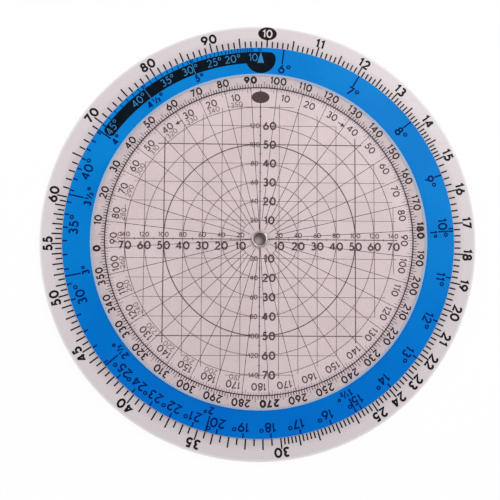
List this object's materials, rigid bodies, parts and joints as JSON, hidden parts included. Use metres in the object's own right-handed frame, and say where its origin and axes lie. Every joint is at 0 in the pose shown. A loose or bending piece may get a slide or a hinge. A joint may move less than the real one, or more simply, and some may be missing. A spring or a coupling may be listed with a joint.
{
  "type": "circular slide rule",
  "caption": "Flat circular slide rule: a white base disc, a blue-ringed dial with a wind grid, a clear compass disc on top, and a windowed time dial and clear cursor behind, on one eyelet.",
  "frame": {"origin": "on the eyelet axis at the lowest point of its rear clinch, which is what the rule rests on", "axes": "+Z out of the wind side along the eyelet, +Y from the axis through the airspeed index, +X to the right as that side is read"},
  "size_m": [0.1524, 0.1524, 0.0057],
  "materials": {
    "base_sheet": "white laminated vinyl sheet, satin, faintly pink and slightly yellowed at the rim",
    "dial_sheet": "white laminated vinyl sheet, satin",
    "time_sheet": "white laminated vinyl sheet, satin, with punched sight windows",
    "blue_print": "solid process blue, screen printed under a clear laminate",
    "scale_ink": "black printed line",
    "window_ink": "black printed line under the sight windows",
    "navy_ink": "black printed over blue, reads as dark navy",
    "band_ink": "solid black print",
    "grid_ink": "thin black printed line seen through the frosted disc",
    "index_ink": "solid black print seen through the frosted disc",
    "clear_frosted_sheet": "clear plastic sheet, frosted on top to take pencil",
    "pale_backing": "pale print behind the compass numbers",
    "compass_ink": "fine black line on clear sheet",
    "clear_sheet": "clear polished plastic, cut edge",
    "hairline_ink": "red ink wiped into an engraved groove",
    "eyelet_metal": "nickel-plated brass tube, bright, with fine scratches and a dark bore",
    "washer_metal": "plated flat washer"
  },
  "bodies": {
    "base": {"base_disc": "base_sheet", "outer_scale_marks": "scale_ink", "rear_scale_marks": "scale_ink", "window_scale_marks": "window_ink", "eyelet": "eyelet_metal", "rear_washer": "washer_metal"},
    "airspeed_dial": {"airspeed_disc": "dial_sheet", "blue_band": "blue_print", "sine_scale_marks": "navy_ink", "cosine_band": "band_ink", "cosine_scale_marks": "navy_ink", "wind_grid": "grid_ink", "wind_circles": "grid_ink", "course_index": "index_ink"},
    "plotting_dial": {"plotting_disc": "clear_frosted_sheet", "compass_band": "pale_backing", "compass_ring": "compass_ink", "compass_marks": "compass_ink", "compass_spokes": "compass_ink"},
    "time_dial": {"time_disc": "time_sheet", "time_scale_marks": "scale_ink", "speed_index": "band_ink"},
    "cursor_arm": {"cursor": "clear_sheet", "cursor_hairline": "hairline_ink"}
  },
  "joints": [
    {"name": "airspeed_dial_turn", "type": "hinge", "parent": "base", "child": "airspeed_dial", "pos_m": [0, 0, 0.00395], "axis": [0, 0, 1], "continuous": true},
    {"name": "plotting_dial_turn", "type": "hinge", "parent": "base", "child": "plotting_dial", "pos_m": [0, 0, 0.00475], "axis": [0, 0, 1], "continuous": true},
    {"name": "time_dial_turn", "type": "hinge", "parent": "base", "child": "time_dial", "pos_m": [0, 0, 0.00195], "axis": [0, 0, 1], "continuous": true},
    {"name": "cursor_turn", "type": "hinge", "parent": "base", "child": "cursor_arm", "pos_m": [0, 0, 0.00095], "axis": [0, 0, 1], "continuous": true}
  ]
}
